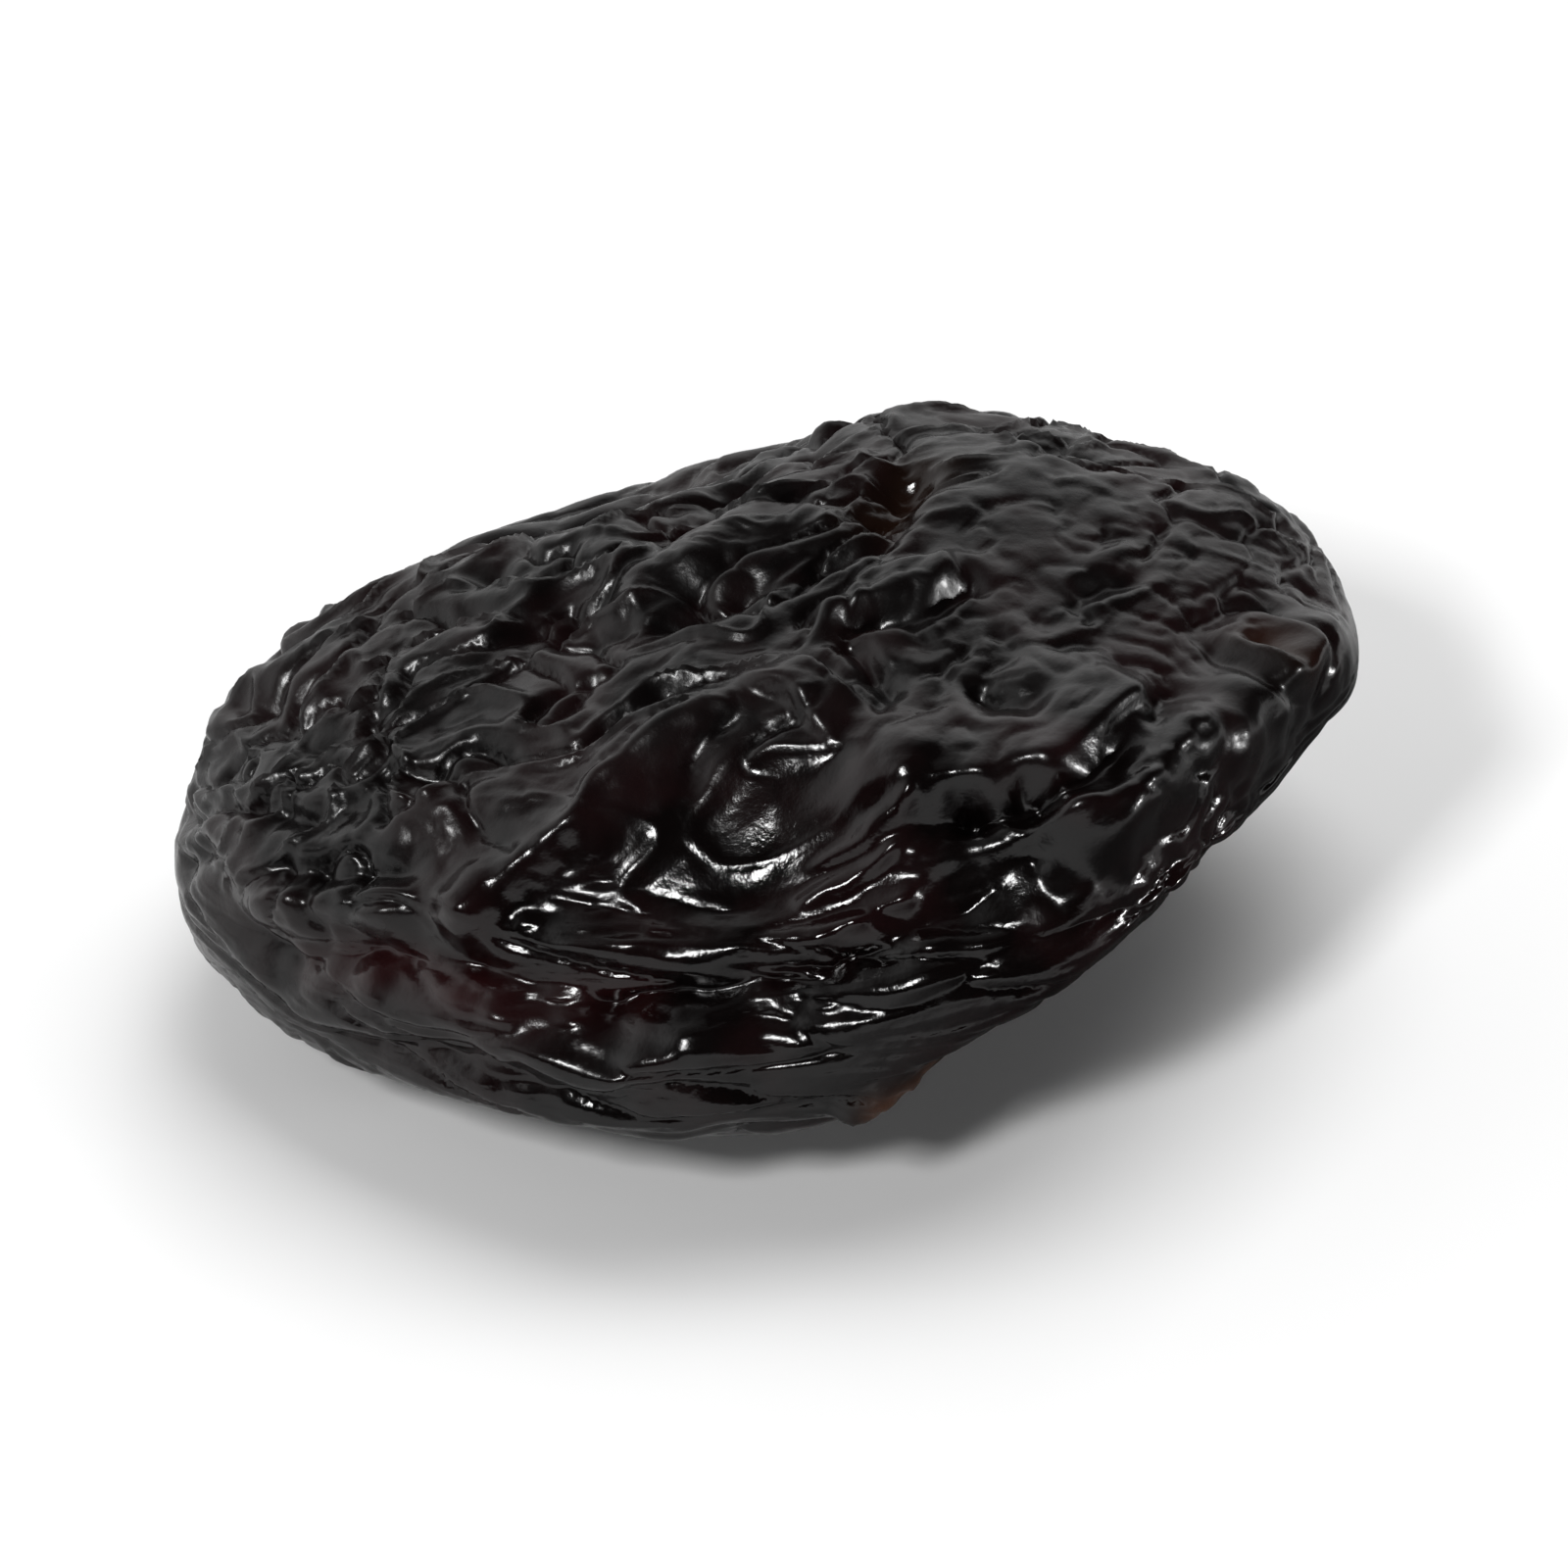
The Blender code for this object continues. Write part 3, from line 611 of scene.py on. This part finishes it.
def skin_material():
    """Near-black skin, tinted and dulled in places, with a fine grain."""
    material = bpy.data.materials.new("prune_skin")
    material.use_nodes = True
    tree = material.node_tree
    place = tree.nodes.new("ShaderNodeTexCoord").outputs["Object"]

    def cloud(scale, detail, roughness):
        inputs = {"Vector": place, "Scale": scale, "Detail": detail, "Roughness": roughness}
        return add_node(tree, "ShaderNodeTexNoise", inputs).outputs["Fac"]

    def share(name):
        return add_node(tree, "ShaderNodeAttribute", {}, attribute_name=name).outputs["Fac"]

    def mixed(factor, base, colour):
        inputs = {"Factor": factor, "A": base, "B": colour}
        return add_node(tree, "ShaderNodeMix", inputs, data_type="RGBA").outputs["Result"]

    colour = mixed(ranged(tree, cloud(*PLUM_CLOUDS), *PLUM_RANGE, 0, 1), BLACK, PLUM)
    colour = mixed(share("maroon"), colour, MAROON)
    colour = mixed(share("brown"), colour, BROWN)
    gloss = ranged(tree, cloud(*GLOSS_CLOUDS), *GLOSS_RANGE, *GLOSS)
    duller = ranged(tree, share("dull"), 0, 1, 0, DULLER)
    roughness = add_node(tree, "ShaderNodeMath", {0: gloss, 1: duller}, use_clamp=True)
    grain = add_node(tree, "ShaderNodeBump", {"Distance": GRAIN_HEIGHT, "Height": cloud(*GRAIN)})
    fill(tree, tree.nodes["Principled BSDF"], {
        "Base Color": colour,
        "Roughness": roughness.outputs["Value"],
        "IOR": SKIN_IOR,
        "Coat Weight": COAT,
        "Coat Roughness": COAT_ROUGHNESS,
        "Normal": grain.outputs["Normal"],
    })
    return material


def table_material():
    """Matt white; reflections see it painted darker, with painted shade round one place."""
    material = bpy.data.materials.new("white_table")
    material.use_nodes = True
    tree = material.node_tree
    place = tree.nodes.new("ShaderNodeTexCoord").outputs["Object"]
    # Painted shade and painted darker reflection: the colour that only glossy rays see, darkest round the
    # place at the right.
    away = add_node(tree, "ShaderNodeVectorMath", {0: place, 1: PAINTED_SHADE_PLACE}, operation="DISTANCE")
    painted_reflection = ranged(tree, away.outputs["Value"], *PAINTED_SHADE_REACH, *TABLE_PAINTED_REFLECTION, "SMOOTHSTEP")
    by_gloss = tree.nodes.new("ShaderNodeLightPath").outputs["Is Glossy Ray"]
    inputs = {"Factor": by_gloss, "A": (TABLE, TABLE, TABLE, 1), "B": painted_reflection}
    white = add_node(tree, "ShaderNodeMix", inputs, data_type="RGBA")
    fill(tree, tree.nodes["Principled BSDF"], {
        "Base Color": white.outputs["Result"],
        "Roughness": TABLE_ROUGHNESS,
        "Specular IOR Level": 0.0,
    })
    return material


def table():
    """A square table top."""
    mesh = bpy.data.meshes.new("table")
    corners = [(x * TABLE_HALF, y * TABLE_HALF, 0) for x, y in ((-1, -1), (1, -1), (1, 1), (-1, 1))]
    mesh.from_pydata(corners, [], [(0, 1, 2, 3)])
    mesh.materials.append(table_material())
    floor = bpy.data.objects.new("table", mesh)
    bpy.context.scene.collection.objects.link(floor)
    return floor


def studio():
    """A white backdrop behind the table, fading to a dark room in front."""
    world = bpy.data.worlds.new("studio")
    bpy.context.scene.world = world
    world.use_nodes = True
    tree = world.node_tree
    direction = tree.nodes.new("ShaderNodeTexCoord").outputs["Generated"]
    height = add_node(tree, "ShaderNodeSeparateXYZ", {"Vector": direction})
    level = add_node(tree, "ShaderNodeVectorMath", {0: direction, 1: (1, 1, 0)}, operation="MULTIPLY")
    compass = add_node(tree, "ShaderNodeVectorMath", {0: level.outputs["Vector"]}, operation="NORMALIZE")
    inputs = {0: compass.outputs["Vector"], 1: BACKDROP_TOWARDS}
    towards = add_node(tree, "ShaderNodeVectorMath", inputs, operation="DOT_PRODUCT")
    sides = ranged(tree, towards.outputs["Value"], *BACKDROP_SIDES, 0, 1, "SMOOTHSTEP")
    top = ranged(tree, height.outputs["Z"], *BACKDROP_TOP, 0, 1, "SMOOTHSTEP")
    both = add_node(tree, "ShaderNodeMath", {0: sides, 1: top}, operation="MULTIPLY")
    inputs = {0: both.outputs["Value"], 1: BACKDROP - ROOM, 2: ROOM}
    light = add_node(tree, "ShaderNodeMath", inputs, operation="MULTIPLY_ADD")
    by_camera = tree.nodes.new("ShaderNodeLightPath").outputs["Is Camera Ray"]
    inputs = {"Factor": by_camera, "A": light.outputs["Value"], "B": 1.0}
    strength = add_node(tree, "ShaderNodeMix", inputs, data_type="FLOAT")
    fill(tree, tree.nodes["Background"], {"Color": (1, 1, 1, 1), "Strength": strength.outputs["Result"]})


def softbox(name, azimuth, elevation, distance, size, radiance):
    """A square soft light: azimuth in degrees to the right of the camera."""
    light = bpy.data.lights.new(name, "AREA")
    light.size = size
    light.energy = radiance * math.pi * size * size
    lamp = bpy.data.objects.new(name, light)
    bpy.context.scene.collection.objects.link(lamp)
    turn, lift = math.radians(azimuth), math.radians(elevation)
    direction = Vector((math.sin(turn) * math.cos(lift), -math.cos(turn) * math.cos(lift), math.sin(lift)))
    lamp.location = direction * distance
    lamp.rotation_euler = direction.to_track_quat("Z", "Y").to_euler()
    lamp.visible_camera = False
    return lamp


def camera_at(target):
    """The camera, in front and looking down at the target, with its head tipped."""
    data = bpy.data.cameras.new("camera")
    data.lens = CAMERA_LENS
    data.sensor_width = CAMERA_SENSOR
    camera = bpy.data.objects.new("camera", data)
    bpy.context.scene.collection.objects.link(camera)
    lift, tip = math.radians(CAMERA_ELEVATION), math.radians(CAMERA_ROLL)
    back = Vector((0, -math.cos(lift), math.sin(lift)))
    up = Vector((0, math.sin(lift), math.cos(lift)))
    right = Vector((1, 0, 0))
    across = right * math.cos(tip) - up * math.sin(tip)
    upward = up * math.cos(tip) + right * math.sin(tip)
    place = Matrix((across, upward, back)).transposed().to_4x4()
    place.translation = target + CAMERA_ACROSS * across + CAMERA_UPWARD * upward + CAMERA_DISTANCE * back
    camera.matrix_world = place
    bpy.context.scene.camera = camera


directions, triangles = unit_sphere(SKIN_CUTS)
smooth = smooth_fruit(directions)
prune = mesh_piece("prune_skin", folded(smooth, triangles), triangles)
tint(prune, smooth)
prune.data.materials.append(skin_material())
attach(prune, "root")
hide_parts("prune")

table()
studio()
softbox("key", *KEY_LAMP)
softbox("right", *RIGHT_LAMP)
softbox("top", *TOP_LAMP).visible_glossy = False

low, high = cad_box
camera_at((Vector(low) + Vector(high)) / 2)
bpy.context.scene.view_settings.view_transform = "Standard"
